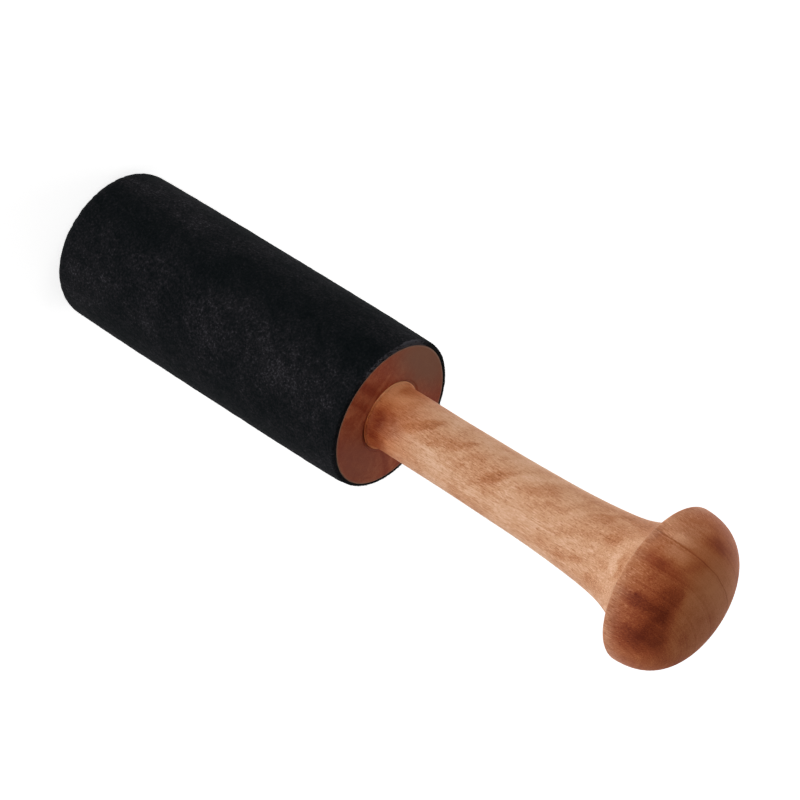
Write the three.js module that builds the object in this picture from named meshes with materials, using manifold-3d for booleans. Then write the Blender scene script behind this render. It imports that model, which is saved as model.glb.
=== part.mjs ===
// A mallet for striking and rubbing a singing bowl, standing on the free end of its head.
// A turned handle with a mushroom knob is glued into a round wooden head, and the head is
// dressed in suede. Everything is turned about the Z axis. Lengths are in millimetres.

import * as THREE from 'three';
import { mergeVertices } from 'three/addons/utils/BufferGeometryUtils.js';
import Module from 'manifold-3d';

const wasm = await Module();
wasm.setup();

// The head over its suede, from the flat of the free end up to the wooden face
const headLength = 120;
const headDiameter = 50;
const headCrown = 0.45;
const endRounding = 5;

// The suede sheet, the disc that closes the free end, and the glue line under both
const suedeThickness = 1.2;
const cutEdgeRounding = 0.8;
const glueGap = 0.2;
const endDiscDiameter = 36;
const endDiscGap = 0.3;
const seamGap = 0.3;

// The wooden face around the handle
const faceChamfer = 0.5;
const creviceWidth = 0.6;
const creviceDepth = 0.5;

// The round tenon at the handle's lower end and its socket in the head
const tenonDiameter = 16;
const tenonLength = 42;
const tenonChamfer = 1.5;
const socketClearance = 0.2;
const socketEndClearance = 1;

// The root of the handle, which ends in a crisp rim on the wooden face
const rootRimDiameter = 22.4;
const rootRimHeight = 0.3;
const rootFlareHeight = 3.5;

// The grip, measured from the wooden face
const neckDiameter = 20.6;
const swellDiameter = 28.1;
const swellHeight = 92;
const swellShares = [0.34, 0.86];

// The knob, whose underside is measured from the wooden face
const undersideHeight = 103.3;
const knobDiameter = 49.6;
const knobRimRounding = 0.9;
const domeHeight = 17;
const domeShoulderShare = 0.7;
const domeCrownShare = 0.68;

// How finely round shapes are cut into flats
const turnSteps = 48;
const arcSteps = 6;
const sideSteps = 6;
const sweepSteps = 14;

// One overrun lets every cut pass clean through its wall
const cutOverrun = 1;

const point = (radius, height) => new THREE.Vector2(radius, height);

// Points along a curve, with the first left out where the last piece of the outline ended on it
function sampled(curve, steps, keepFirst = false) {
  const points = curve.getPoints(steps);
  return keepFirst ? points : points.slice(1);
}

// A quarter circle from one angle to another, about a centre in the plane of the outline
function quarter(centreRadius, centreHeight, radius, fromAngle, toAngle) {
  const clockwise = toAngle < fromAngle;
  return new THREE.EllipseCurve(
    centreRadius, centreHeight, radius, radius, fromAngle, toAngle, clockwise,
  ).getPoints(arcSteps);
}

// Turns an outline of radius and height about the Z axis
function turned(outline) {
  const geometry = new THREE.LatheGeometry(outline, turnSteps);
  geometry.rotateX(Math.PI / 2);
  return geometry;
}

// Makes a closed geometry a solid that can be cut
function solidOf(geometry) {
  const bare = geometry.clone();
  bare.deleteAttribute('normal');
  bare.deleteAttribute('uv');
  const merged = mergeVertices(bare);
  const mesh = new wasm.Mesh({
    numProp: 3,
    vertProperties: new Float32Array(merged.attributes.position.array),
    triVerts: new Uint32Array(merged.index.array),
  });
  return new wasm.Manifold(mesh);
}

// Makes a cut solid a geometry again
function geometryOf(solid) {
  const mesh = solid.getMesh();
  const geometry = new THREE.BufferGeometry();
  geometry.setAttribute('position', new THREE.BufferAttribute(mesh.vertProperties, 3));
  geometry.setIndex(new THREE.BufferAttribute(mesh.triVerts, 1));
  geometry.computeVertexNormals();
  return geometry;
}

// The head is a slight barrel: this is its radius over the suede at a height
function headRadius(height) {
  const fromMiddle = (2 * height) / headLength - 1;
  return headDiameter / 2 - headCrown * fromMiddle ** 4;
}

// The side of the head, a given depth under its suede surface, from the flat of the free
// end round the corner and up to a height
function headSide(depth, topHeight) {
  const rounding = endRounding - depth;
  const cornerRadius = headRadius(endRounding) - endRounding;
  const corner = quarter(cornerRadius, endRounding, rounding, -Math.PI / 2, 0);
  const side = [];
  for (let step = 1; step <= sideSteps; step += 1) {
    const height = endRounding + ((topHeight - endRounding) * step) / sideSteps;
    side.push(point(headRadius(height) - depth, height));
  }
  return [...corner, ...side];
}

// Depths under the suede surface and heights that several pieces share
const coreDepth = suedeThickness + glueGap;
const creviceFloor = headLength - creviceDepth;
const shoulderHeight = creviceFloor + glueGap;
const tenonFoot = shoulderHeight - tenonLength;

// The wooden core of the head, with a blind socket for the tenon and a narrow crevice
// round the handle's root
function headCore() {
  const socketRadius = tenonDiameter / 2 + socketClearance;
  const socketFloor = tenonFoot - socketEndClearance;
  const creviceRadius = rootRimDiameter / 2 + creviceWidth;
  const outline = [
    point(0, coreDepth),
    ...headSide(coreDepth, headLength - faceChamfer),
    point(headRadius(headLength) - coreDepth - faceChamfer, headLength),
    point(creviceRadius, headLength),
    point(creviceRadius, creviceFloor),
    point(socketRadius, creviceFloor),
    point(socketRadius, socketFloor),
    point(0, socketFloor),
  ];
  return turned(outline);
}

// The suede wrapped once round the core and turned over the corner of the free end. Its two
// long edges meet in a seam at the back
function suedeWrap() {
  const lipRadius = endDiscDiameter / 2 + endDiscGap;
  const edgeRadius = headRadius(headLength) - cutEdgeRounding;
  const edgeHeight = headLength - cutEdgeRounding;
  const outside = headSide(0, edgeHeight);
  const cutEdge = quarter(edgeRadius, edgeHeight, cutEdgeRounding, 0, Math.PI / 2);
  const inside = headSide(suedeThickness, headLength).reverse();
  const outline = [
    point(lipRadius, 0),
    ...outside,
    ...cutEdge.slice(1),
    ...inside,
    point(lipRadius, suedeThickness),
    point(lipRadius, 0),
  ];

  const slitLength = headDiameter / 2 + cutOverrun;
  const slit = new THREE.BoxGeometry(seamGap, slitLength, headLength + 2 * cutOverrun);
  slit.translate(0, slitLength / 2, headLength / 2);
  return geometryOf(solidOf(turned(outline)).subtract(solidOf(slit)));
}

// The suede disc glued on the flat of the free end, inside the turned edge of the wrap
function suedeEndDisc() {
  const outline = [
    point(0, 0),
    point(endDiscDiameter / 2, 0),
    point(endDiscDiameter / 2, suedeThickness),
    point(0, suedeThickness),
  ];
  return turned(outline);
}

// The root of the handle: a crisp rim on the wooden face and a small hollow flare up to the neck
function handleRoot() {
  const rimTop = headLength + rootRimHeight;
  const flareTop = headLength + rootFlareHeight;
  const flare = new THREE.QuadraticBezierCurve(
    point(rootRimDiameter / 2, rimTop),
    point(neckDiameter / 2, rimTop),
    point(neckDiameter / 2, flareTop),
  );
  return [point(rootRimDiameter / 2, shoulderHeight), ...sampled(flare, arcSteps, true)];
}

// The grip swells slowly from the neck, then sweeps out in a cove under the knob's rim
function handleGrip() {
  const neckRadius = neckDiameter / 2;
  const neckHeight = headLength + rootFlareHeight;
  const swellTop = headLength + swellHeight;
  const rise = swellTop - neckHeight;
  const [lowShare, highShare] = swellShares;
  const swell = new THREE.CubicBezierCurve(
    point(neckRadius, neckHeight),
    point(neckRadius, neckHeight + rise * lowShare),
    point(neckRadius, neckHeight + rise * highShare),
    point(swellDiameter / 2, swellTop),
  );
  const slope = (swellDiameter / 2 - neckRadius) / (rise * (1 - highShare));
  const underside = headLength + undersideHeight;
  const cove = new THREE.QuadraticBezierCurve(
    point(swellDiameter / 2, swellTop),
    point(swellDiameter / 2 + slope * (underside - swellTop), underside),
    point(knobDiameter / 2 - knobRimRounding, underside),
  );
  return [...sampled(swell, sweepSteps), ...sampled(cove, sweepSteps / 2)];
}

// The knob: a rounded rim and a flattened dome that closes on the axis
function handleKnob() {
  const knobRadius = knobDiameter / 2;
  const underside = headLength + undersideHeight;
  const widest = underside + knobRimRounding;
  const rim = quarter(knobRadius - knobRimRounding, widest, knobRimRounding, -Math.PI / 2, 0);
  const dome = new THREE.CubicBezierCurve(
    point(knobRadius, widest),
    point(knobRadius, widest + domeHeight * domeShoulderShare),
    point(knobRadius * domeCrownShare, widest + domeHeight),
    point(0, widest + domeHeight),
  );
  return [...rim.slice(1), ...sampled(dome, sweepSteps)];
}

// The handle is one turned piece: tenon, root, grip and knob
function handle() {
  const tenonRadius = tenonDiameter / 2;
  const outline = [
    point(0, tenonFoot),
    point(tenonRadius - tenonChamfer, tenonFoot),
    point(tenonRadius, tenonFoot + tenonChamfer),
    point(tenonRadius, shoulderHeight),
    ...handleRoot(),
    ...handleGrip(),
    ...handleKnob(),
  ];
  return turned(outline);
}

const handleWood = new THREE.MeshStandardMaterial({
  color: 0xb9763f, roughness: 0.45, metalness: 0,
});
const headWood = new THREE.MeshStandardMaterial({
  color: 0x8e4321, roughness: 0.5, metalness: 0,
});
const blackSuede = new THREE.MeshStandardMaterial({
  color: 0x1b1a1c, roughness: 0.95, metalness: 0,
});

function named(name, geometry, material) {
  const mesh = new THREE.Mesh(geometry, material.clone());
  mesh.name = name;
  return mesh;
}

const mallet = new THREE.Group();
mallet.add(
  named('handle', handle(), handleWood),
  named('head_core', headCore(), headWood),
  named('suede_wrap', suedeWrap(), blackSuede),
  named('suede_end_disc', suedeEndDisc(), blackSuede),
);

export default mallet;
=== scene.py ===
# %% [markdown]
# # A singing bowl mallet in turned wood and black suede
# The mallet has a round wooden head dressed in suede and a turned handle that ends in a
# mushroom knob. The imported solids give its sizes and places. This lesson lays finer surfaces
# over them, gives each one a finish, and lights them softly. The mallet stands on the free end
# of its head, so Z is its axis. Blender works in metres, and the sizes here are written in
# millimetres and multiplied by MM.

# %% Load the frame
import math

import bpy
import numpy as np
from mathutils import Matrix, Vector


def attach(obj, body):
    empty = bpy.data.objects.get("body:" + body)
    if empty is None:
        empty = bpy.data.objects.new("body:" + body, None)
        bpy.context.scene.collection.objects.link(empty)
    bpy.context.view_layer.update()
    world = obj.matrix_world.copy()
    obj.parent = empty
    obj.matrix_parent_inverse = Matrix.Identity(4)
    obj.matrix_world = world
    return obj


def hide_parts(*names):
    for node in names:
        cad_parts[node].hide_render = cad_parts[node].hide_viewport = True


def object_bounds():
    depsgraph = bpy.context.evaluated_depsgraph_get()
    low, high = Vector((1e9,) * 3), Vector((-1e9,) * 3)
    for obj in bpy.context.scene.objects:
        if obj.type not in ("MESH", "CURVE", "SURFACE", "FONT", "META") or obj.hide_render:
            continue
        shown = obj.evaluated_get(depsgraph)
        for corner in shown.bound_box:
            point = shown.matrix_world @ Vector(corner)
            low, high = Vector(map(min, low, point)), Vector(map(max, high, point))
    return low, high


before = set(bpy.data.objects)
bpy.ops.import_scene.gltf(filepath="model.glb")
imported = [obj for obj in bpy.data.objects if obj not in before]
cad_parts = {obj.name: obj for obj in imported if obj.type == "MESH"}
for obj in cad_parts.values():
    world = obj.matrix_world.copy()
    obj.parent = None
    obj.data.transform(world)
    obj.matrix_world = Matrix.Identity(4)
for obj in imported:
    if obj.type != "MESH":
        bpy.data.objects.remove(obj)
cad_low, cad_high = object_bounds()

MM = 0.001

print("solids stand", round((cad_high.z - cad_low.z) / MM, 1), "mm tall")

# %% [markdown]
# ## The camera
# The photograph was taken with a long lens from about a metre away. It looks a little down on
# the knob's end of the mallet, with the axis running down to the right. A camera is three
# directions and a place: here the three directions are worked out from two angles and written
# into its matrix, because aiming a camera by eye never repeats exactly.

# %% Camera
def camera_directions(above, slant):
    """The camera's right, up and back directions. Back leans up from the front of the mallet
    by one angle, and the picture is turned until the axis runs down by the other."""
    right = (-math.sin(slant), math.cos(slant) * math.sin(above), math.cos(slant) * math.cos(above))
    up = (-math.cos(slant), -math.sin(slant) * math.sin(above), -math.sin(slant) * math.cos(above))
    back = (0, -math.cos(above), math.sin(above))
    return np.array([right, up, back])


def standing(directions, place):
    """The matrix of an object whose right, up and back directions are the rows of an array."""
    matrix = np.eye(4)
    matrix[:3, :3] = directions.T
    matrix[:3, 3] = place
    return Matrix(matrix.tolist())


view_above = math.radians(30.432)
view_slant = math.radians(31.912)
lens_from_object = 1.09693
object_left_of_centre = 0.090692
object_above_centre = 0.050238

directions = camera_directions(view_above, view_slant)
camera_place = directions.T @ (object_left_of_centre, -object_above_centre, lens_from_object)

camera_data = bpy.data.cameras.new("camera")
camera_data.sensor_width = 36
camera_data.lens = 157.5
camera_data.clip_start = 0.05
camera_data.clip_end = 30
camera = bpy.data.objects.new("camera", camera_data)
bpy.context.scene.collection.objects.link(camera)
camera.matrix_world = standing(directions, camera_place)
bpy.context.scene.camera = camera
bpy.context.scene.view_settings.view_transform = "Standard"

print("camera stands at", [round(float(x), 3) for x in camera_place])

# %% [markdown]
# ## Writing shader maths as expressions
# A finish is a tree of nodes. Adding each node by hand hides the idea behind the wiring, so one
# small class wraps a socket and turns +, -, * and / into Math nodes, and one method adds any
# other node: it takes the node's type, its settings and what goes into its sockets.

# %% Values and finishes
class Value:
    """What one socket gives out. Sums and products of it add Math nodes to its finish."""

    def __init__(self, finish, socket):
        self.finish = finish
        self.socket = socket

    def _math(self, operation, first, second):
        return self.finish.node("ShaderNodeMath", {"operation": operation}, {0: first, 1: second})

    def __add__(self, other):
        return self._math("ADD", self, other)

    def __radd__(self, other):
        return self._math("ADD", other, self)

    def __sub__(self, other):
        return self._math("SUBTRACT", self, other)

    def __rsub__(self, other):
        return self._math("SUBTRACT", other, self)

    def __mul__(self, other):
        return self._math("MULTIPLY", self, other)

    def __rmul__(self, other):
        return self._math("MULTIPLY", other, self)

    def __truediv__(self, other):
        return self._math("DIVIDE", self, other)

    def __rtruediv__(self, other):
        return self._math("DIVIDE", other, self)


class Finish:
    """A tree of nodes, of a new material or of the world."""

    def __init__(self, tree):
        self.tree = tree
        self.tree.nodes.clear()

    def node(self, kind, settings=None, sockets=None, output=0):
        """Adds a node: its settings first, then the numbers or links of its sockets."""
        made = self.tree.nodes.new(kind)
        for name, value in (settings or {}).items():
            if name == "stops":
                self._set_stops(made.color_ramp, value)
            else:
                setattr(made, name, value)
        for name, value in (sockets or {}).items():
            if isinstance(value, Value):
                self.tree.links.new(value.socket, made.inputs[name])
            else:
                made.inputs[name].default_value = value
        return Value(self, made.outputs[output]) if len(made.outputs) else None

    @staticmethod
    def _set_stops(ramp, stops):
        while len(ramp.elements) < len(stops):
            ramp.elements.new(1.0)
        for element, (position, colour) in zip(ramp.elements, stops):
            element.position = position
            element.color = colour


def new_finish(name):
    """A material and its empty tree of nodes."""
    material = bpy.data.materials.new(name)
    material.use_nodes = True
    return material, Finish(material.node_tree)


def screen_colour(red, green, blue):
    """A colour as a paint program shows it, 0 to 255, made linear for the shader."""
    share = np.array([red, green, blue]) / 255
    linear = np.where(share <= 0.04045, share / 12.92, ((share + 0.055) / 1.055) ** 2.4)
    return (*[float(x) for x in linear], 1.0)


def tones(*stops):
    """The stops of a ramp of colours: for each its place from 0 to 1 and its screen colour."""
    return [(place, screen_colour(*colour)) for place, *colour in stops]


def coloured(tone, colours):
    """The colour that a ramp has at a tone from 0 to 1."""
    return tone.finish.node("ShaderNodeValToRGB", {"stops": colours}, {"Fac": tone}, "Color")


def attribute(place, name):
    """One of the piece's own attributes, as a number."""
    return place.finish.node("ShaderNodeAttribute", {"attribute_name": name}, {}, "Fac")


def part_of(vector, axis):
    """How far a vector goes along one axis."""
    return vector.finish.node("ShaderNodeSeparateXYZ", {}, {0: vector}, axis)


def noise(place, size, detail=2.0, roughness=0.5, distortion=0.0, output="Fac"):
    """Cloudy noise whose blots are about one size across, in metres."""
    sockets = {"Vector": place, "Scale": 1 / size, "Detail": detail, "Roughness": roughness,
               "Distortion": distortion}
    return place.finish.node("ShaderNodeTexNoise", {}, sockets, output)


def stretched(place, scale, shift=(0, 0, 0)):
    """Coordinates that are scaled and shifted, so that a pattern on them runs long where the
    scale is small."""
    sockets = {"Vector": place, "Location": shift, "Scale": scale}
    return place.finish.node("ShaderNodeMapping", {"vector_type": "POINT"}, sockets)


def leaning(place, turn, stretch, centre=(0, 0, 0)):
    """Coordinates that are measured from a centre, turned and then divided by a stretch, so
    that a pattern on them runs long along a line that leans."""
    sockets = {"Vector": place, "Location": centre, "Rotation": turn, "Scale": stretch}
    return place.finish.node("ShaderNodeMapping", {"vector_type": "TEXTURE"}, sockets)


def ramped(value, low, high, start=0.0, end=1.0):
    """A smooth step from start to end while the value goes from low to high."""
    sockets = {"Value": value, "From Min": low, "From Max": high, "To Min": start, "To Max": end}
    return value.finish.node("ShaderNodeMapRange", {"interpolation_type": "SMOOTHSTEP"}, sockets)


def bumped(height, distance, strength):
    """A normal that leans as if the surface rose by a height times a distance."""
    sockets = {"Height": height, "Distance": distance, "Strength": strength}
    return height.finish.node("ShaderNodeBump", {}, sockets, "Normal")


def blended(share, first, second):
    """A colour between two."""
    sockets = {0: share, 6: first, 7: second}
    return share.finish.node("ShaderNodeMix", {"data_type": "RGBA"}, sockets, 2)


print("a mid grey of 188 is", round(screen_colour(188, 188, 188)[0], 3), "in the shader")

# %% [markdown]
# ## The floor, the surroundings and the light
# A product picture on white is lit by large soft boxes, and its background is white because it
# is bright and not because the object gets more light. So the floor and the world show white to
# the camera and to reflections only, and light the object at a plain level. The room is a pale
# cove with a dim ceiling: surfaces that look up reflect little, and the walls give a haze on the
# far side of the knob. Three boxes stand low, a weak one stands high behind, and a light table
# fills from below, so the sides of the mallet are bright and the faces that look along the axis
# are darker, as in the photograph. The floor keeps the mallet's shadow.

# %% The world
def seen_directly(finish):
    """One where a ray comes from the camera, a mirror-like reflection or glass, else zero."""
    kinds = ("Is Camera Ray", "Is Glossy Ray", "Is Transmission Ray")
    shown, *others = [finish.node("ShaderNodeLightPath", output=kind) for kind in kinds]
    for ray in others:
        shown = finish.node("ShaderNodeMath", {"operation": "MAXIMUM"}, {0: shown, 1: ray})
    return shown


ceiling_level, wall_level = 0.08, 0.34
ceiling_seen, wall_seen = 0.16, 1.0
cove_low, cove_high = 0.28, 0.62

world = bpy.data.worlds.new("studio")
world.use_nodes = True
sky = Finish(world.node_tree)
looked_at = sky.node("ShaderNodeTexCoord", output="Generated")
wall = ramped(part_of(looked_at, "Z"), cove_low, cove_high, 1, 0)
shown = seen_directly(sky)
gives = ceiling_level + (wall_level - ceiling_level) * wall
shows = ceiling_seen + (wall_seen - ceiling_seen) * wall
sky_light = sky.node("ShaderNodeBackground", {}, {
    "Color": (1, 1, 1, 1), "Strength": gives + (shows - gives) * shown})
sky.node("ShaderNodeOutputWorld", {}, {"Surface": sky_light})
bpy.context.scene.world = world
print("the world gives", wall_level, "from its walls and", ceiling_level, "from its ceiling")

# %% The floor
floor_reach = 6.0
floor_lift = 0.78
corners = np.array([(-1, -1, 0), (1, -1, 0), (1, 1, 0), (-1, 1, 0)]) * floor_reach
floor_mesh = bpy.data.meshes.new("floor")
floor_mesh.from_pydata(corners.tolist(), [], [(0, 1, 2, 3)])
floor = bpy.data.objects.new("floor", floor_mesh)
bpy.context.scene.collection.objects.link(floor)

paper, paper_tree = new_finish("floor_paper")
paper_white = paper_tree.node("ShaderNodeBsdfDiffuse", {}, {"Color": (0.86, 0.86, 0.86, 1)})
paper_lift = paper_tree.node("ShaderNodeEmission", {},
                             {"Strength": seen_directly(paper_tree) * floor_lift})
paper_both = paper_tree.node("ShaderNodeAddShader", {}, {0: paper_white, 1: paper_lift})
paper_tree.node("ShaderNodeOutputMaterial", {}, {"Surface": paper_both})
floor_mesh.materials.append(paper)

print("floor reaches", floor_reach, "m each way")

# %% Soft boxes
def area_light(name, width, height, power, matrix):
    """A rectangular light of a power in watts. The camera doesn't see it."""
    light = bpy.data.lights.new(name, "AREA")
    light.shape = "RECTANGLE"
    light.size = width
    light.size_y = height
    light.energy = power
    lamp = bpy.data.objects.new(name, light)
    bpy.context.scene.collection.objects.link(lamp)
    lamp.matrix_world = matrix
    lamp.visible_camera = False
    return lamp


def soft_box(name, azimuth, elevation, distance, width, height, level):
    """A soft box aimed at the mallet's middle. Its power is worked out so that a white surface
    which faces it reaches the level: pi squared times the distance squared times the level."""
    turn, rise = math.radians(azimuth), math.radians(elevation)
    level_part = math.cos(rise)
    back = np.array([math.sin(turn) * level_part, -math.cos(turn) * level_part, math.sin(rise)])
    right = np.cross((0, 0, 1), back)
    right /= np.linalg.norm(right)
    middle = np.array([0, 0, float(cad_high.z) / 2])
    aimed = standing(np.array([right, np.cross(back, right), back]), middle + back * distance)
    area_light(name, width, height, level * (math.pi * distance) ** 2, aimed)


def light_table(name, reach, level):
    """A panel just above the floor that shines up. A surface that looks straight down at it
    gets the level, and an upright one gets half of it."""
    above_floor = 0.5 * MM
    facing_up = Matrix.Translation((0, 0, above_floor)) @ Matrix.Rotation(math.pi, 4, "X")
    panel = area_light(name, reach, reach, level * math.pi * reach ** 2, facing_up)
    panel.visible_glossy = False


# Azimuth and elevation in degrees, distance, width and height in metres, and the level
soft_box("key_box", 44, 4, 1.3, 0.9, 0.7, 0.50)
soft_box("side_box", -66, 6, 1.4, 0.8, 0.7, 0.27)
soft_box("back_box", -160, 8, 1.5, 1.0, 0.7, 0.38)
soft_box("high_box", 176, 60, 1.5, 0.9, 0.5, 0.08)
light_table("table_panel", 1.6, 0.48)

# %% [markdown]
# ## Surfaces turned on a lathe
# The handle and the head were turned, so each is an outline carried round the axis. The outline
# is a list of radii and heights, dense where it curves. As whole arrays, a grid of angles and
# outline points gives every vertex at once, and the two ends close on the axis in single points,
# which leaves no hole at the poles.

# %% Outlines and turned meshes
def bezier(points, steps):
    """Points on a Bezier curve: each control point is weighted by how often its share and the
    rest of the way are chosen, the Bernstein weights of the curve's degree."""
    points = np.asarray(points, float)
    degree = len(points) - 1
    share = np.linspace(0, 1, steps + 1)[:, None]
    order = np.arange(degree + 1)
    ways = np.array([math.comb(degree, k) for k in order])
    return (ways * share ** order * (1 - share) ** (degree - order)) @ points


def arc(centre, radius, start, end, steps):
    """Points on an arc in the plane of the outline, between two angles in degrees."""
    angle = np.radians(np.linspace(start, end, steps + 1))
    return np.stack([centre[0] + radius * np.cos(angle), centre[1] + radius * np.sin(angle)], 1)


def straight(start, end, steps):
    """Evenly spaced points from one to another."""
    share = np.linspace(0, 1, steps + 1)[:, None]
    return (1 - share) * np.asarray(start, float) + share * np.asarray(end, float)


def joined(*stretches):
    """One outline from stretches that meet end to end, with each shared point kept once."""
    return np.concatenate([stretches[0]] + [stretch[1:] for stretch in stretches[1:]])


def cornered(points, steps):
    """Straight stretches from point to point, each cut into its own number of steps."""
    return joined(*[straight(*ends) for ends in zip(points, points[1:], steps)])


def new_piece(name, points, faces):
    """A smooth mesh object that sits at the origin, with its place in its points."""
    mesh = bpy.data.meshes.new(name)
    mesh.from_pydata(np.asarray(points).tolist(), [], faces)
    mesh.shade_smooth()
    mesh.update()
    piece = bpy.data.objects.new(name, mesh)
    bpy.context.scene.collection.objects.link(piece)
    return piece


def enclosed(piece):
    """The volume that a closed mesh encloses in cubic centimetres. It is positive when the
    faces point outwards: the sum over triangles of a . (b x c) / 6."""
    mesh = piece.data
    mesh.calc_loop_triangles()
    points = np.zeros(len(mesh.vertices) * 3)
    mesh.vertices.foreach_get("co", points)
    corner = np.zeros(len(mesh.loop_triangles) * 3, int)
    mesh.loop_triangles.foreach_get("vertices", corner)
    a, b, c = points.reshape(-1, 3)[corner.reshape(-1, 3)].transpose(1, 0, 2)
    return float((a * np.cross(b, c)).sum() / 6 * 1e6)


def print_measures(piece):
    """Prints how many faces a piece has and how much it encloses."""
    print(piece.name, "has", len(piece.data.polygons), "faces and", round(enclosed(piece), 3), "cm3")


def turned_grid(outline, columns, relief=None):
    """The points of an outline carried round the axis: x is the radius times the sine of the
    angle and y is minus the radius times its cosine, so angle zero faces the camera. The first
    and last outline points are on the axis. The relief gives a change of radius and of height."""
    angle = np.linspace(0, 2 * np.pi, columns, endpoint=False)
    radius = np.repeat(outline[1:-1, :1], columns, 1)
    height = np.repeat(outline[1:-1, 1:], columns, 1)
    if relief is not None:
        wider, higher = relief(angle[None, :], radius, height)
        radius, height = radius + wider, height + higher
    ring = np.stack([radius * np.sin(angle), -radius * np.cos(angle), height], 2)
    poles = [(0, 0, outline[0, 1]), (0, 0, outline[-1, 1])]
    return np.concatenate([ring.reshape(-1, 3), poles])


def turned_faces(rows, columns):
    """Four-sided faces between neighbouring rows, and a fan of triangles round each pole."""
    row = np.arange(rows - 1)[:, None] * columns
    here = np.arange(columns)
    after = (here + 1) % columns
    sides = np.stack([row + here, row + after, row + columns + after, row + columns + here], 2)
    pole = np.full(columns, rows * columns)
    top = (rows - 1) * columns
    fans = np.concatenate([np.stack([pole, after, here], 1),
                           np.stack([pole + 1, top + here, top + after], 1)])
    return sides.reshape(-1, 4).tolist() + fans.tolist()


edge_reach = 0.30


def turned_piece(name, outline_mm, columns, relief=None, corners=()):
    """A closed turned piece. Its attribute end_grain goes from 0 on a side that follows the
    fibres to 1 on a face that looks up and cuts straight across them. Its attribute worn_edge
    is 1 on some corners of the outline and all but gone half a millimetre away from them."""
    outline = outline_mm * MM
    points = turned_grid(outline, columns, relief)
    piece = new_piece(name, points, turned_faces(len(outline) - 2, columns))
    slope = np.gradient(outline, axis=0)
    across = np.clip(-slope[:, 0] / np.maximum(np.hypot(*slope.T), 1e-12), 0, 1)
    edge_weight = np.zeros(len(outline))
    for corner in corners:
        away = np.hypot(*(outline_mm - corner).T)
        edge_weight = np.maximum(edge_weight, np.exp(-(away / edge_reach) ** 2))
    for attribute_name, values in (("end_grain", across), ("worn_edge", edge_weight)):
        per_point = np.append(np.repeat(values[1:-1], columns), values[[0, -1]])
        stored = piece.data.attributes.new(attribute_name, "FLOAT", "POINT")
        stored.data.foreach_set("value", per_point.astype(np.float32))
    return piece


def ripples(seed, count, size, around):
    """A gentle uneven surface: waves of angle and height with random steepness and start,
    added up and divided by the root of their number. Turns are whole, so it meets itself."""
    draw = np.random.default_rng(seed)
    turns = draw.integers(0, around, count)
    climbs = draw.uniform(-1, 1, count) * 2 * np.pi / size
    starts = draw.uniform(0, 2 * np.pi, count)

    def height_of(angle, height):
        waves = (np.sin(turn * angle + climb * height + start)
                 for turn, climb, start in zip(turns, climbs, starts))
        return sum(waves) / math.sqrt(count)

    return height_of


print("a ten-step quarter arc has", len(arc((0, 0), 1, 0, 90, 10)), "points")

# %% [markdown]
# ## The handle
# One piece of wood: a round tenon that is glued into the head, a crisp rim on the wooden face, a
# neck, a slow swell, and a cove that sweeps out under the knob. A hand-sanded surface is never
# perfectly round, so slow ripples of a few hundredths of a millimetre go over it, and
# reflections on it waver as they do on the real one.

# %% The handle's outline
HEAD_LENGTH = 120.0
tenon_foot = 77.7
tenon_radius, tenon_chamfer = 8.0, 1.5
shoulder = 119.7
rim_radius, rim_top = 11.2, 120.3
rim_easing = 0.1
neck_radius, neck_foot = 10.3, 123.5
swell_radius, swell_top = 14.05, 212.0
swell_low, swell_high = 0.34, 0.86
underside = 223.3
knob_radius, knob_easing = 24.8, 0.9
widest = underside + knob_easing
knob_top = 241.2
dome_height = knob_top - widest
dome_side, dome_crown = 0.70, 0.68

rise = swell_top - neck_foot
slope = (swell_radius - neck_radius) / (rise * (1 - swell_high))
cove_turn = (swell_radius + slope * (underside - swell_top), underside)

handle_outline = joined(
    cornered([(0, tenon_foot), (tenon_radius - tenon_chamfer, tenon_foot),
              (tenon_radius, tenon_foot + tenon_chamfer), (tenon_radius, shoulder),
              (rim_radius, shoulder), (rim_radius, rim_top - rim_easing)], [3, 2, 10, 3, 3]),
    arc((rim_radius - rim_easing, rim_top - rim_easing), rim_easing, 0, 90, 3),
    bezier([(rim_radius - rim_easing, rim_top), (neck_radius, rim_top),
            (neck_radius, neck_foot)], 14),
    bezier([(neck_radius, neck_foot), (neck_radius, neck_foot + swell_low * rise),
            (neck_radius, neck_foot + swell_high * rise), (swell_radius, swell_top)], 110),
    bezier([(swell_radius, swell_top), cove_turn, (knob_radius - knob_easing, underside)], 26),
    arc((knob_radius - knob_easing, widest), knob_easing, -90, 0, 12),
    bezier([(knob_radius, widest), (knob_radius, widest + dome_side * dome_height),
            (dome_crown * knob_radius, knob_top), (0, knob_top)], 70),
)
print("handle outline has", len(handle_outline), "points")

# %% The handle
sanding = ripples(seed=3, count=24, size=22 * MM, around=5)
sanding_depth = 0.035 * MM
handle = turned_piece("turned_handle", handle_outline, 256,
                      lambda angle, radius, height: (sanding_depth * sanding(angle, height), 0),
                      [(rim_radius, rim_top)])
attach(handle, "root")
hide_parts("handle")
print_measures(handle)

# %% [markdown]
# ## The wooden core of the head
# A cylinder of hardwood with its fibres along the axis, so its round face shows end grain. The
# face has a small chamfer beside the suede and a narrow crevice round the handle's root. The
# crevice's outer lip is slightly chipped, as a bored edge in end grain is, and that is done with
# ripples that act only near the lip.

# %% The core's outline
HEAD_RADIUS = 25.0
HEAD_CROWN = 0.45
CORNER = 5.0
SUEDE = 1.2
core_depth = SUEDE + 0.2


def head_radius(height):
    """The barrel of the head over its suede: 25 mm at the middle, and less towards both ends by
    the crown times the fourth power of the way from the middle."""
    return HEAD_RADIUS - HEAD_CROWN * (2 * height / HEAD_LENGTH - 1) ** 4


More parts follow.
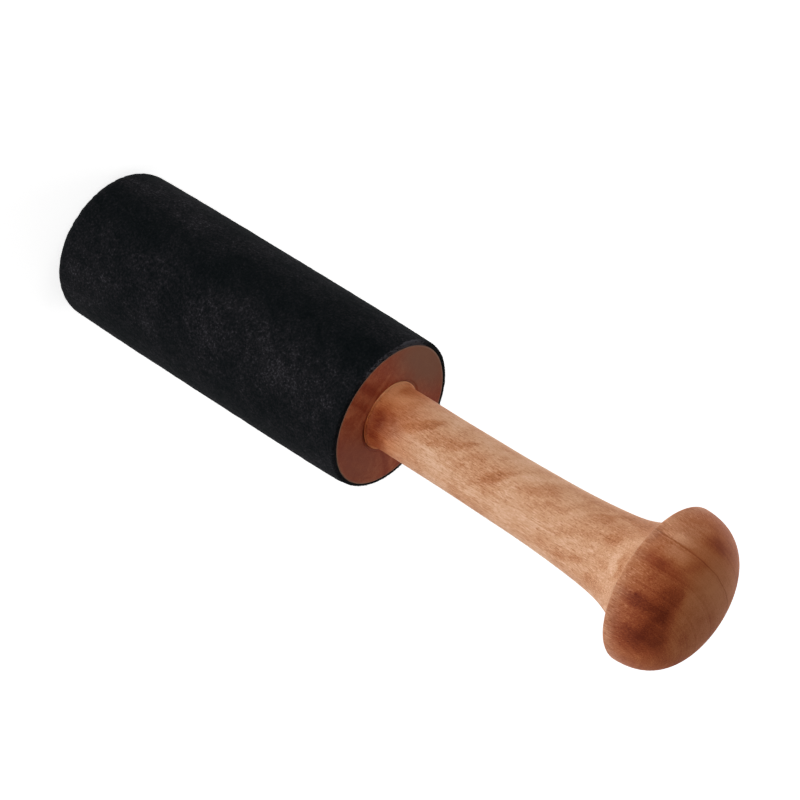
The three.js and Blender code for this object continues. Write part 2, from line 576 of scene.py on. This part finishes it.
def head_side(depth, top, corner_steps, side_steps):
    """The head's side at a depth under the suede, from the flat end round the corner and up."""
    corner_centre = (head_radius(CORNER) - CORNER, CORNER)
    corner = arc(corner_centre, CORNER - depth, -90, 0, corner_steps)
    heights = np.linspace(CORNER, top, side_steps + 1)
    side = np.stack([head_radius(heights) - depth, heights], 1)
    return joined(corner, side)


chamfer = 0.2
lip_radius, lip_easing, groove_depth = 12.15, 0.15, 0.13
gap_radius, crevice_floor = 11.28, 119.5
socket_radius, socket_floor = 8.2, 76.7
core_top_radius = head_radius(HEAD_LENGTH) - core_depth
core_foot = head_side(core_depth, HEAD_LENGTH - chamfer, 10, 24)
groove_floor = HEAD_LENGTH - groove_depth

core_outline = joined(
    straight((0, core_depth), core_foot[0], 4),
    core_foot,
    cornered([core_foot[-1], (core_top_radius - chamfer, HEAD_LENGTH),
              (lip_radius + lip_easing, HEAD_LENGTH)], [3, 34]),
    bezier([(lip_radius + lip_easing, HEAD_LENGTH), (lip_radius, HEAD_LENGTH),
            (lip_radius, groove_floor), (lip_radius - lip_easing, groove_floor)], 6),
    cornered([(lip_radius - lip_easing, groove_floor), (gap_radius, groove_floor),
              (gap_radius, crevice_floor), (socket_radius, crevice_floor),
              (socket_radius, socket_floor), (0, socket_floor)], [5, 2, 3, 8, 3]),
)
print("core outline has", len(core_outline), "points")

# %% The core
open_side, open_spread, open_depth = math.radians(56), math.radians(20), 0.30
chip_reach, chip_depth = 0.25, 0.09
dip_depth = 0.02
fade_reach = 0.4
lip_inset, inset_reach, wall_slack = 0.05, 0.2, 0.2
chips = ripples(seed=11, count=18, size=400 * MM, around=90)
dips = ripples(seed=12, count=16, size=400 * MM, around=7)


def face_relief(angle, radius, height):
    """Changes only the wooden face. Near the lip the radius is chipped by fine ripples. Inside
    the lip the groove deepens towards one side, by a bell curve of the angle, where the glue
    line stands open. The whole face dips by a few hundredths in slow waves."""
    near_lip = np.exp(-((radius / MM - lip_radius) / chip_reach) ** 2)
    top = np.clip((height / MM - groove_floor + fade_reach) / fade_reach, 0, 1)
    inside = np.clip((lip_radius - lip_inset - radius / MM) / inset_reach, 0, 1)
    inside = inside * (radius / MM > gap_radius - wall_slack)
    opened = np.exp(-((angle - open_side) / open_spread) ** 2)
    wider = chip_depth * MM * chips(angle, height) * near_lip * top
    dipped = dip_depth * MM * dips(angle, radius)
    higher = (dipped - open_depth * MM * opened * inside) * top
    return wider, higher


core = turned_piece("turned_core", core_outline, 320, face_relief,
                    [(core_top_radius - chamfer / 2, HEAD_LENGTH - chamfer / 2)])
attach(core, "root")
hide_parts("head_core")
print_measures(core)

# %% [markdown]
# ## The wood's finish
# The handle is a tan hardwood and the head a red-brown one, both with a satin finish. Fibres run
# along the axis and show as short dark and light dashes. Growth bands are shells round the pith,
# which lay outside the blank, so they cross the knob as nearly parallel bands. Where the fibres
# lean, light and dark smudges slant across the grip, the figure that turners call curl. Cut fibre
# ends drink more stain, so the knob and the face of the head are darker and redder. The root of
# the handle is darker and redder too, partly stain and partly painted shadow from the head, and
# painted shade lies under the knob's rim, painted highlights on the root's rim and painted glints
# on the lit side.
#
# A solid pattern on object coordinates gives all of this at once, because side and end of a piece
# cut the same grain. Marks that the photograph shows in one place are soft ellipsoids in the
# wood, each with a centre and three half sizes in millimetres, a slant in degrees and a strength,
# which is below zero for a mark that is lighter than the wood round it. Some marks are painted
# shade or painted highlights, and they say so where they stand.

# %% Soft marks in the wood
def shaken(place, size, across, along):
    """Coordinates that wander in cloudy noise of one size, by a reach across the axis and
    another along it, so that what they place gets frayed edges."""
    cloud = noise(place, size, 4, 0.65, output="Color")
    around_zero = place.finish.node("ShaderNodeVectorMath", {"operation": "SUBTRACT"},
                                    {0: cloud, 1: (0.5, 0.5, 0.5)}, "Vector")
    return place.finish.node("ShaderNodeVectorMath", {"operation": "MULTIPLY_ADD"},
                             {0: around_zero, 1: (across, across, along), 2: place}, "Vector")


def length_of(vector):
    """The length of a vector, as a number."""
    return vector.finish.node("ShaderNodeVectorMath", {"operation": "LENGTH"}, {0: vector}, "Value")


def blot(place, centre, half_sizes, slant=0, softness=0.55):
    """One inside a soft ellipsoid and zero outside. Coordinates are measured from its centre,
    turned by the slant about Y and divided by its half sizes; their length is one on it."""
    local = leaning(place, (0, math.radians(slant), 0), [h * MM for h in half_sizes],
                    [c * MM for c in centre])
    return ramped(length_of(local), 1 - softness, 1 + softness, 1, 0)


def all_blots(place, marks):
    """The sum of the marks, each by its strength."""
    return sum(strength * blot(place, *mark) for *mark, strength in marks)


grip_marks = [
    ((-2.7, -9.5, 137.4), (1.7, 5, 6.6), -40, 0.25),
    ((-0.5, -10, 144.2), (1.1, 5, 4.4), -36, 0.15),
    ((-3.4, -9.5, 151), (1.4, 5, 5.4), -34, 0.18),
    ((-5, -9, 129.5), (1.2, 5, 2.8), -43, 0.12),
    ((-1.8, -9.8, 167.4), (1.4, 5, 5.8), -41, 0.25),
    ((-3.9, -13.4, 211.3), (1.9, 5, 5), -30, 0.18),
    ((-7.4, -11, 206), (2, 5, 8), 0, 0.12),
    ((-13, -12, 217.5), (5, 6, 5), 0, 0.20),
    ((-12.5, -6.5, 208.5), (2.6, 5, 7.5), 6, 0.26),
    ((9.8, -9.2, 209.3), (2.4, 4, 2.6), 0, 0.10),
    ((2.7, -16.4, 218.2), (2.2, 4, 1.8), 0, 0.23),
    ((-7, -9, 186), (1.6, 5, 6.5), -28, 0.10),
    ((0.3, -16.8, 218.4), (2.4, 4, 1.7), 0, 0.16),
    ((2.6, -9.9, 138), (1, 5, 6.5), 6, -0.16),
    ((6.3, -8.4, 160), (1.4, 5, 14), 0, -0.12),
    ((4.2, -9.4, 143), (2.4, 4, 9), 0, -0.10),
    ((5.9, -9, 179), (2.4, 5, 7.5), -6, -0.16),
    ((8, -12.4, 212), (2.6, 5, 7), 2, -0.16),
    ((1.3, -16, 215.6), (3, 4, 2.2), -20, -0.20),
    ((4, -12, 200), (2, 5, 8), -6, -0.12),
    ((10, -13, 217.5), (2.4, 4, 2.4), 0, -0.12),
    ((-4.3, -14.3, 214.3), (2, 4, 2.2), 0, -0.16),
]
# Marks at the root, mostly painted: the dark ones are painted shadow and shade where the head shades
# the root, the light ones painted light and the rim's painted highlight
root_shade_and_light_marks = [
    ((4.9, -9.5, 121.8), (5, 3.6, 3.2), 10, 0.32),
    ((3.2, -9.7, 127), (3.6, 3, 5.4), 12, 0.32),
    ((7.6, -7, 124), (2.6, 4, 5), 0, 0.13),
    ((0.9, -10, 123), (2, 4, 2.8), 0, -0.07),
    ((6.2, -8.6, 122.8), (2.2, 4, 3.4), 0, 0.08),
    ((-8, -6.4, 123.9), (2.2, 3.2, 2.4), -23, 0.06),
    ((-2.4, -10, 129), (2.5, 4, 7), -30, 0.07),
    ((9.6, -4, 122.6), (3, 5, 5), 0, 0.28),
    ((-5.6, -8.8, 125), (2, 4, 4.6), -32, -0.18),
    ((-8, -6.6, 121), (4.2, 5, 1.6), 0, -0.22),
    ((6.8, -8, 131.5), (2.2, 4, 3.6), -30, -0.04),
]
knob_marks = [
    ((2.6, -18.6, 236.9), (5.6, 5, 3.4), -10, 0.27),
    ((9, -17.6, 236.4), (5, 5, 3), 0, 0.10),
    ((14.6, -14, 236.4), (5.5, 6, 4), 10, 0.20),
    ((-17.2, -9.8, 236.4), (2.6, 4.5, 3), 0, 0.20),
    ((-4.4, -23, 230.6), (1.2, 4, 5), 3, 0.03),
    ((-7.4, -22.8, 225), (2.5, 4, 3), 0, -0.10),
    ((17.8, -16, 231.5), (4, 6, 7), 0, 0.22),
    ((13.6, -20.6, 225.4), (4, 4, 2.8), 0, 0.14),
    ((11.5, -15, 237.4), (5, 6, 2.6), 0, 0.10),
    ((5.6, -21, 232), (3.2, 5, 2.8), 0, 0.12),
    ((12.6, -18.6, 232), (4.6, 6, 4.6), 0, 0.12),
    ((6.8, -22, 230.2), (1.8, 4, 5.6), -4, 0.20),
    ((1, -24, 226.5), (4, 3, 3.6), 0, -0.14),
    ((-4.6, -19.4, 236), (4, 5, 3.6), 0, -0.09),
    ((9.6, -19.5, 233.5), (3, 5, 4), 0, 0.10),
    # A dark line along the knob's rim: painted shade
    ((-11.5, -21.8, 224.8), (4, 4, 1.5), 0, 0.24),
    ((-19.3, -13.5, 229.5), (3, 5, 5), 0, -0.14),
    ((-14, -11.5, 237.2), (2.6, 4, 2.2), 0, -0.09),
    ((-13.6, -19.4, 231), (1.4, 5, 6), -10, -0.16),
    ((-9.4, -20.6, 232.4), (2.2, 5, 4.5), -6, -0.24),
    ((-4.5, -8, 240.4), (5.5, 10, 2.6), 0, -0.20),
    ((-11.9, -19.2, 233.2), (2.6, 5, 4.8), -6, -0.12),
    ((-5, -20.5, 233.4), (2.4, 5, 3.4), 0, 0.10),
    ((2.7, -22, 226.5), (3, 4, 3), 0, 0.10),
    ((-15.4, -18, 229), (2.6, 5, 6), 0, -0.20),
]
face_marks = [
    # A lighter line along the front of the lip: a painted highlight
    ((0, -12.6, 120), (9, 1, 2), 0, -0.22),
    ((-3, -19.5, 120), (1.6, 4.5, 2), 0, 0.16),
    ((9, -17, 120), (1.8, 4, 2), 0, 0.16),
    ((5.5, -21.5, 120), (1.4, 2.5, 2), 0, -0.16),
    ((18, -5, 120), (7, 12, 3), 0, 0.16),
    ((2, -19, 120), (12, 5, 3), 0, -0.12),
]
print("marks:", len(grip_marks), "on the grip,", len(root_shade_and_light_marks) + len(knob_marks), "on its ends")

# %% The grain of the blank
PITH = (60, -21.5)
first_band, last_band = 40, 90
band_wander, fine_wander, fine_width = 2, 0.9, 0.8


def growth_bands(place, bands):
    """How dark the growth bands are, and the finer bands between them, by the distance from the
    pith. Each band is a distance in millimetres and its darkness."""
    wander = noise(stretched(place, (1, 1, 0.3)), 16 * MM)
    ring = length_of(stretched(place, (1, 1, 0), shift=(-PITH[0] * MM, -PITH[1] * MM, 0)))
    span = last_band - first_band
    share = (ring / MM + band_wander * (wander - 0.5) - first_band) / span
    stops = [((distance - first_band) / span, (dark, dark, dark, 1)) for distance, dark in bands]
    fine_bands = place.finish.node("ShaderNodeTexNoise", {"noise_dimensions": "1D"}, {
        "W": ring + fine_wander * MM * wander, "Scale": 1 / (fine_width * MM), "Detail": 4,
        "Roughness": 0.65})
    return coloured(share, stops), fine_bands


def dashes(place, width, length, low, high, shift=0):
    """Short streaks along the axis, where stretched noise is above a level."""
    moved = stretched(place, (1, 1, width / length), shift=(shift, 0, shift))
    return ramped(noise(moved, width, 2, 0.55), low, high)


handle_bands = [(40, 0.5), (46, 0.65), (50, 0.55), (52, 0.85), (53.8, 0.8), (55.4, 0.45),
                (59, 0.55), (62.6, 0.5), (64, 0.78), (65.2, 0.74), (66.6, 0.45), (70, 0.4),
                (71.7, 0.4), (72, 1.6), (72.4, 0.2), (76, 0.2), (79, 0.5), (82, 0.3), (90, 0.5)]
core_bands = [(40, 0.4), (44, 0.7), (50, 0.35), (56, 0.45), (57.2, 0.95), (58.4, 0.75),
              (60.4, 0.15), (62, 0.5), (63.2, 0.7), (64.2, 0.65), (65.2, 0.3), (68, 0.4),
              (74, 0.3), (80, 0.5), (90, 0.4)]

grip_colours = tones((0, 241, 197, 165), (0.35, 220, 166, 128), (0.62, 196, 131, 90),
                     (1, 150, 83, 45))
# Darker, redder colours for the root: partly stain, partly painted shade
root_shade_colours = tones((0, 236, 166, 118), (0.35, 208, 128, 80), (0.62, 175, 91, 51),
                     (1, 127, 46, 22))
knob_colours = tones((0, 240, 180, 142), (0.2, 218, 152, 112), (0.48, 184, 108, 66),
                     (0.7, 155, 75, 42), (1, 108, 40, 22))
end_colours = tones((0, 220, 140, 90), (0.35, 198, 112, 65), (0.62, 168, 80, 43),
                    (1, 112, 42, 20))
face_colours = tones((0, 204, 118, 80), (0.35, 172, 82, 52), (0.62, 150, 58, 36),
                     (1, 118, 36, 23))

print("the pith lay", PITH, "mm from the axis")

# %% The figure and the lacquer
def wood_figure(place):
    """The leaning smudges of curl with fine flecks in them, slow clouds, and the dashes of
    fibres and pores."""
    slanted = leaning(place, (0, math.radians(-38), 0), (1, 2, 2.8))
    curl = noise(slanted, 3.4 * MM, 2, 0.45, 0.4)
    clouds = noise(place, 13 * MM)
    dark = dashes(place, 0.30 * MM, 1.5 * MM, 0.54, 0.64)
    light = dashes(place, 0.32 * MM, 2 * MM, 0.54, 0.64, 0.05)
    flecks = noise(stretched(place, (1, 1, 0.6)), 0.36 * MM, 1, 0.5)
    return curl + 0.8 * (flecks - 0.5), clouds, dark, light


def lacquered(colour, dark, light, end, index):
    """A satin finish with a refractive index, duller where cut fibre ends drank it. Dark dashes
    are a little rougher and sit a little lower, and light ones sit higher."""
    finish = colour.finish
    rough = 0.50 + 0.26 * end + 0.08 * dark
    bump = bumped(light - dark, 0.03 * MM, 0.5)
    shader = finish.node("ShaderNodeBsdfPrincipled", {}, {
        "Base Color": colour, "Roughness": rough, "Normal": bump, "IOR": index})
    finish.node("ShaderNodeOutputMaterial", {}, {"Surface": shader})


def dressed(pieces, name, finish_from):
    """Puts a new material on pieces. A function adds its nodes, from where a point is."""
    material, finish = new_finish(name)
    finish_from(finish.node("ShaderNodeTexCoord", output="Object"))
    for piece in pieces:
        piece.data.materials.append(material)
    print(name, "has", len(material.node_tree.nodes), "nodes")


# %% The handle's wood
# Heights in mm of the root's painted shade, of the knob's stain, which starts low enough to paint
# shade under the rim, and of the lighter crown
root_shade_fade, knob_stain_and_shade, crown_fade = (122, 144), (217.3, 230.3), (238, 240)


def handle_finish(place):
    """Tan along the grip. The root is darker and redder, partly stain and partly painted shadow from
    the head, and the stain grows from the cove up to the dome, starting low enough to paint shade
    under the knob's rim. A painted highlight runs round one side of the root's rim, and painted
    glints lie on the grip's lit side and on one side of the knob."""
    loose = shaken(place, 2.4 * MM, 1.8 * MM, 4.5 * MM)
    looser = shaken(place, 4 * MM, 3 * MM, 2.6 * MM)
    height = part_of(place, "Z") / MM
    ragged = 3 * (noise(place, 2.6 * MM, 3, 0.6) - 0.5)
    bands, fine_bands = growth_bands(place, handle_bands)
    curl, clouds, dark, light = wood_figure(place)
    end = attribute(place, "end_grain")

    # Real end grain stain on the knob, begun below the rim so that it also paints shade there
    knob = ramped(height + 0.9 * ragged, *knob_stain_and_shade)
    knob_start = ramped(height, 223, 234, 1, 0)
    crown = ramped(height + 0.3 * ragged, *crown_fade)
    edge_weight = attribute(place, "worn_edge")
    side = part_of(place, "X") / MM
    # A painted highlight round the root's rim, full on one side and faint on the other
    rim_highlight = edge_weight * ramped(side + 2 * ragged, -6, 1, 1, 0.15)
    # The root is painted darker and redder: stain, and painted shadow where the head shades it
    root = ramped(height + 1.6 * ragged, *root_shade_fade, 1, 0)
    # Painted glints: light dashes made stronger on one side of the knob
    painted_glints = ramped(side, -13, -7, 1, 0)
    # Painted glints: light dashes on the grip's lit side only
    painted_glint_dashes = dashes(place, 0.38 * MM, 6 * MM, 0.55, 0.65, 0.02) * ramped(side, -1, 4)
    fibres = (0.24 * dark - 0.22 * light) * ramped(side, -9, 3, 0.55, 1)
    calm = 0.39 + 0.30 * (curl - 0.5) + 0.40 * (clouds - 0.5) + 0.14 * (fine_bands - 0.5)
    grip_tone = (calm + 0.25 * (curl - 0.5) + 0.18 * (fine_bands - 0.5) + fibres - 0.21 * painted_glint_dashes
                 + 0.12 * (bands - 0.5) + all_blots(loose, grip_marks))
    root_tone = (calm + 0.5 * fibres - 0.08 * painted_glint_dashes - 0.6 * rim_highlight
                 + all_blots(looser, root_shade_and_light_marks))
    knob_tone = (calm + 0.06 + 0.18 * (fine_bands - 0.5) + 0.8 * fibres + 0.34 * (bands - 0.5)
                 - (0.08 + 0.14 * painted_glints) * light * knob_start + (0.10 * ragged - 0.20) * crown
                 + all_blots(looser, knob_marks))

    knob_colour = blended(ramped(end, 0.25, 0.95), coloured(0.2 + 0.8 * knob_tone, knob_colours),
                          coloured(knob_tone, end_colours))
    colour = blended(root, coloured(grip_tone, grip_colours), coloured(root_tone, root_shade_colours))
    colour = blended(knob, colour, knob_colour)
    lacquered(colour, dark, light, end, index=1.21)


dressed([handle], "lacquered_handle_wood", handle_finish)

# %% The core's wood
def core_finish(place):
    """End grain on the face, with its growth bands and smudges of stain. A greyish haze is painted
    on the face, a painted reflection of the pale walls, strong on one side and faint on the other,
    and the outer chamfer is lighter all round."""
    bands, fine_bands = growth_bands(place, core_bands)
    _, clouds, dark, light = wood_figure(place)
    smudges = noise(place, 2.6 * MM, 4, 0.6, 1.2)
    edge_weight = attribute(place, "worn_edge")
    loose = shaken(place, 5 * MM, 5 * MM, 0)
    tone = (0.33 + 0.38 * (bands - 0.5) + 0.5 * (clouds - 0.5) + 0.15 * (fine_bands - 0.5)
            + 0.55 * (smudges - 0.5) + 0.10 * dark - 0.14 * light
            + all_blots(loose, face_marks))
    colour = coloured(tone, face_colours)
    # A painted reflection of the pale walls: a greyish haze, strong on one side of the face and
    # faint on the other
    painted_haze = (0.80 * blot(loose, (-19, 1, 120), (8, 16, 3), 0, 0.7)
             + 0.32 * blot(loose, (17, -3, 120), (9, 15, 3), 0, 0.7))
    colour = blended(painted_haze, colour, screen_colour(140, 103, 80))
    # The outer chamfer is lighter all round
    colour = blended(edge_weight, colour, screen_colour(162, 126, 106))
    end = attribute(place, "end_grain")
    lacquered(colour, dark, light, end, index=1.24)


dressed([core], "lacquered_head_wood", core_finish)

# %% [markdown]
# ## The suede wrap
# One sheet of suede, wound once round the core with its long edges meeting in a butt seam at the
# back. At the free end it is turned over the corner and pulled flat, which gathers it in small
# puckers. At the wooden face it is cut off level, and the cut edge is soft, with one small nick
# where the knife slipped and raised a lip on either side. A hide is not equally thick all over,
# and on one side this one thins towards its cut edge. The sheet is a closed loop of points, out
# over the nap side and back along the glued side, carried round the core from one seam edge to
# the other.

# %% The sheet's outline
seam_gap = 0.3
lip_turn = 18.6
edge_easing = 0.8
cut_radius = head_radius(HEAD_LENGTH) - edge_easing
under = SUEDE + 0.16

nap_side = joined(
    straight((lip_turn, 0), (head_radius(CORNER) - CORNER, 0), 6),
    head_side(0, HEAD_LENGTH - edge_easing, 12, 170),
)
cut_edge = arc((cut_radius, HEAD_LENGTH - edge_easing), edge_easing, 0, 90, 8)
glued_side = head_side(under, HEAD_LENGTH, 10, 24)[::-1]
lip = joined(
    straight(glued_side[-1], (lip_turn, under), 3),
    arc((lip_turn, under / 2), under / 2, 90, 270, 6)[:-1],
)
sheet_loop = joined(nap_side, cut_edge, straight(cut_edge[-1], glued_side[0], 2), glued_side, lip)
print("sheet loop has", len(sheet_loop), "points")

# %% The sheet's columns
def sheet_columns(count, reach, easing):
    """Angles from the seam at the back, round the front and back to it, closer together in the
    last millimetre beside each edge."""
    start = seam_gap / 2 / HEAD_RADIUS
    inset = reach / HEAD_RADIUS
    near = start + inset * np.linspace(0, 1, easing, endpoint=False) ** 1.6
    middle = np.linspace(start + inset, 2 * np.pi - start - inset, count)
    return np.concatenate([near, middle, 2 * np.pi - near[::-1]])


thin_side, thin_spread = math.radians(287), math.radians(32)
thin_reach, thin_depth = 4.0, 0.45


def thinned(turn, height):
    """How much thinner the sheet is than elsewhere, in mm: a bell round one side, times a smooth
    step over the last millimetres under the cut edge."""
    bell = np.exp(-((turn - thin_side) / thin_spread) ** 2)
    above = height - (HEAD_LENGTH - thin_reach)
    near_edge = np.clip(above / (thin_reach - edge_easing), 0, 1)
    return thin_depth * bell * near_edge ** 2 * (3 - 2 * near_edge)


def from_seam(radius, turn, height):
    """Points at radii and heights, with their turn counted from the seam at the back."""
    return np.stack([-radius * np.sin(turn), radius * np.cos(turn), height], -1)


around = sheet_columns(count=270, reach=1.0, easing=5)
print("columns round the sheet:", len(around))

# %% The sheet's relief
def one_long(directions):
    """Directions, scaled to a length of one."""
    return directions / np.linalg.norm(directions, axis=1)[:, None]


steps_along = np.hypot(*np.diff(sheet_loop, axis=0, append=sheet_loop[:1]).T)
along = np.concatenate([[0], np.cumsum(steps_along)[:-1]]) * MM

tangent = np.roll(sheet_loop, -1, 0) - np.roll(sheet_loop, 1, 0)
outward = one_long(np.stack([tangent[:, 1], -tangent[:, 0]], 1))

nap_rows = len(nap_side) + len(cut_edge) - 1
on_nap = np.zeros(len(sheet_loop))
on_nap[:nap_rows] = 1

nap_wave, nap_grit, nap_highest = 0.035, 0.012, 0.12
brushed = ripples(seed=21, count=60, size=5 * MM, around=60)
draw = np.random.default_rng(5)
grit = draw.normal(0, 1, (len(sheet_loop), len(around)))
lift = nap_wave * brushed(around[None, :], along[:, None]) + nap_grit * grit
lift = np.minimum(lift, nap_highest)

roll_reach, roll_depth = 0.7, 0.35
from_edge = HEAD_RADIUS * np.minimum(around, 2 * np.pi - around) - seam_gap / 2
rolled = 1 - np.sqrt(1 - (1 - np.clip(from_edge / roll_reach, 0, 1)) ** 2)
lift = lift - roll_depth * rolled[None, :]

pucker_reach, pucker_depth = 4.0, 0.22
gathers = ripples(seed=31, count=12, size=30 * MM, around=64)
turned_in = np.clip(1 - sheet_loop[:, 1:] / pucker_reach, 0, 1)
lift = lift - pucker_depth * turned_in * np.clip(gathers(around[None, :], along[:, None]), 0, 1)

nick_place, nick_width = math.radians(68.5), 0.6
nick_reach, nick_dent, nick_depth, nick_lips = 1.4, 0.3, 0.4, 1.8
from_nick = (around - nick_place) * HEAD_RADIUS / nick_width
nick = (1 - nick_lips * from_nick ** 2) * np.exp(-from_nick ** 2)
near_top = np.clip((sheet_loop[:, 1:] - (HEAD_LENGTH - nick_reach)) / nick_reach, 0, 1)
lift = (lift - nick_dent * nick * near_top) * on_nap[:, None]

radius = sheet_loop[:, :1] + lift * outward[:, :1]
radius = radius - thinned(around[None, :], sheet_loop[:, 1:]) * on_nap[:, None]
height = sheet_loop[:, 1:] + lift * outward[:, 1:] - nick_depth * nick * near_top
height = np.maximum(height, 0)
print("the nap rises", round(float(lift.max()), 3), "mm at most")

# %% The sheet
sheet_points = MM * from_seam(radius, around, height)


def loop_faces(rows, columns):
    """Faces of a closed loop carried from one column to the next, and a flat cap at each end."""
    row = np.arange(rows)[:, None] * columns
    next_row = (np.arange(rows)[:, None] + 1) % rows * columns
    here = np.arange(columns - 1)
    sides = np.stack([next_row + here, next_row + here + 1, row + here + 1, row + here], 2)
    caps = [row[:, 0].tolist(), (row[::-1, 0] + columns - 1).tolist()]
    return sides.reshape(-1, 4).tolist() + caps


suede_sheet = new_piece("suede_sheet", sheet_points.reshape(-1, 3),
                        loop_faces(len(sheet_loop), len(around)))
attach(suede_sheet, "root")
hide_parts("suede_wrap")
print_measures(suede_sheet)

# %% [markdown]
# ## Loose fibres of the suede
# Suede is never quite smooth: short fibres stand out of it, most densely where the sheet was cut.
# Each is a thin spike with three sides, rooted in the surface and leaning along it. Their roots
# are drawn at random along the sheet's outline and round it, all as arrays.

# %% The fibres
fibre_radius, root_depth, seam_clear = 0.03, 0.05, 0.02
line_spread, least_outward = 0.5, 0.2


def along_outline(outline, share):
    """The places on an outline at shares of its length, and the outward directions there."""
    step = np.diff(outline, axis=0)
    length = np.append(0, np.cumsum(np.hypot(*step.T)))
    at = share * length[-1]
    place = np.stack([np.interp(at, length, column) for column in outline.T], 1)
    which = np.clip(np.searchsorted(length, at) - 1, 0, len(step) - 1)
    return place, one_long(np.stack([step[which, 1], -step[which, 0]], 1))


def fibre_points(seed, outline, count, upright, shortest, longest):
    """Four points for each fibre: three round its root, a radius from its line, and its tip. The
    line is the outward direction times a share plus a random direction, kept from pointing
    inwards and made one long."""
    draw = np.random.default_rng(seed)
    place, out = along_outline(outline, draw.uniform(0, 1, count))
    turn = draw.uniform(seam_clear, 2 * np.pi - seam_clear, count)
    place[:, 0] -= thinned(turn, place[:, 1])
    root = from_seam(place[:, 0], turn, place[:, 1])
    normal = from_seam(out[:, 0], turn, out[:, 1])
    line = upright * normal + draw.normal(0, line_spread, (count, 3))
    line += np.clip(least_outward - (line * normal).sum(1), 0, None)[:, None] * normal
    line = one_long(line)
    first = one_long(np.cross(line, draw.normal(0, 1, (count, 3))))
    second = np.cross(line, first)
    length = draw.uniform(shortest, longest, count)[:, None]
    foot = root - root_depth * normal
    corners = [foot + fibre_radius * (math.cos(angle) * first + math.sin(angle) * second)
               for angle in (0, 2 * math.pi / 3, 4 * math.pi / 3)]
    return np.stack([*corners, root + length * line], 1)


top_edge = arc((cut_radius, HEAD_LENGTH - edge_easing), edge_easing, 0, 75, 8)
on_side = head_side(0, HEAD_LENGTH - edge_easing, 12, 60)[5:]
side_fibres = fibre_points(51, on_side, 9000, upright=0.35, shortest=0.25, longest=0.55)
edge_fibres = fibre_points(52, top_edge, 1500, upright=0.8, shortest=0.2, longest=0.5)
fibres = np.concatenate([side_fibres, edge_fibres])
spike = np.array([(2, 1, 0), (0, 1, 3), (1, 2, 3), (2, 0, 3)])
spikes = (4 * np.arange(len(fibres))[:, None, None] + spike).reshape(-1, 3)
suede_fibres = new_piece("suede_fibres", fibres.reshape(-1, 3) * MM, spikes.tolist())
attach(suede_fibres, "root")
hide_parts("suede_wrap")
print_measures(suede_fibres)

# %% [markdown]
# ## The suede disc
# A round piece of the same suede covers the flat end inside the turned edge. It is a low turned
# piece with soft edges. Its nap sinks in from the flat by a few hundredths, so the mallet still
# stands on z = 0.

# %% The disc
disc_radius = 18.0
disc_easing = 0.45
disc_outline = joined(
    straight((0, 0), (disc_radius - disc_easing, 0), 40),
    arc((disc_radius - disc_easing, disc_easing), disc_easing, -90, 0, 6),
    cornered([(disc_radius, disc_easing), (disc_radius, SUEDE), (0, SUEDE)], [3, 6]),
)
disc_nap = ripples(seed=41, count=30, size=5 * MM, around=40)
sink_depth, calm_radius, flat_below = 0.05 * MM, 6 * MM, 0.01 * MM


def disc_relief(angle, radius, height):
    """Sinks the underside in a little, less towards the middle, where angles crowd."""
    under_side = (height < flat_below) * np.clip(radius / calm_radius, 0, 1)
    return 0, sink_depth * under_side * np.clip(disc_nap(angle, radius), 0, 1)


suede_disc = turned_piece("suede_disc", disc_outline, 192, disc_relief)
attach(suede_disc, "root")
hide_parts("suede_end_disc")
print_measures(suede_disc)

# %% [markdown]
# ## The suede's finish
# Suede is the brushed flesh side of leather. It is matt, and its short fibres lean one way or
# another, so it shows soft darker and lighter strokes a few millimetres wide, a fine speckle, and
# a pale bloom where the surface turns away. The bloom is the shader's sheen, one number all over,
# and the strokes change the base colour and the bump. Its cut edge is scuffed grey on one side.
# A mark on suede is lighter than the rest where its strength is above zero. The long marks are
# painted shade along one side of the head and painted light along the other.

# %% Black suede
# Painted shade in a long band down one side, painted light on the others
suede_shade_and_light_marks = [
    ((-11, -22, 112), (6, 8, 8), 10, -0.24),
    ((-13, -21, 80), (6.5, 8, 34), 0, -0.11),
    ((-10, -23, 30), (6, 8, 26), 8, -0.14),
    ((6, -24, 96), (8, 8, 22), 0, 0.12),
    ((1, -25, 62), (6, 8, 12), -20, 0.06),
    ((17, -18, 22), (7, 10, 24), 0, 0.07),
    ((-20, -15, 22), (6, 10, 26), 0, 0.13),
]
scuffs = [
    ((-21.2, -11, 120), (4.2, 7, 0.85), 0, 0.95),
    ((-12, -20.5, 120), (10, 5, 0.6), 0, 0.75),
]
suede_colours = tones((0, 8, 13, 15), (0.35, 18, 21, 23), (0.65, 34, 33, 36), (1, 71, 70, 75))


def suede_finish(place):
    """Near-black nap. Strokes and speckles set how light it is, from 0 to 1."""
    finish = place.finish
    swept = leaning(place, (0, math.radians(35), 0), (1, 1, 2.2))
    strokes = noise(swept, 3.6 * MM, 3, 0.6, 0.8)
    clouds = noise(place, 20 * MM)
    speckle = noise(place, 0.70 * MM, 3, 0.75)
    loose = shaken(place, 6 * MM, 8 * MM, 8 * MM)
    frayed = shaken(place, 1.2 * MM, 1.5 * MM, 0.8 * MM)
    along_rim = leaning(place, (0, 0, math.radians(-63)), (5, 1, 1))
    strands = ramped(noise(along_rim, 0.5 * MM, 2, 0.6), 0.38, 0.62, 0.35, 1.2)
    lightness = (0.41 + 0.60 * (strokes - 0.5) + 0.45 * (clouds - 0.5) + 1.7 * (speckle - 0.5)
                 + all_blots(loose, suede_shade_and_light_marks)
                 + strands * all_blots(frayed, scuffs))
    bump = bumped(speckle + 1.2 * strokes, 0.25 * MM, 0.6)
    shader = finish.node("ShaderNodeBsdfPrincipled", {}, {
        "Base Color": coloured(lightness, suede_colours), "Roughness": 0.95, "Normal": bump,
        "IOR": 1.3, "Specular IOR Level": 0.06, "Sheen Weight": 0.015, "Sheen Roughness": 0.4})
    finish.node("ShaderNodeOutputMaterial", {}, {"Surface": shader})


dressed([suede_sheet, suede_disc, suede_fibres], "black_suede_nap", suede_finish)
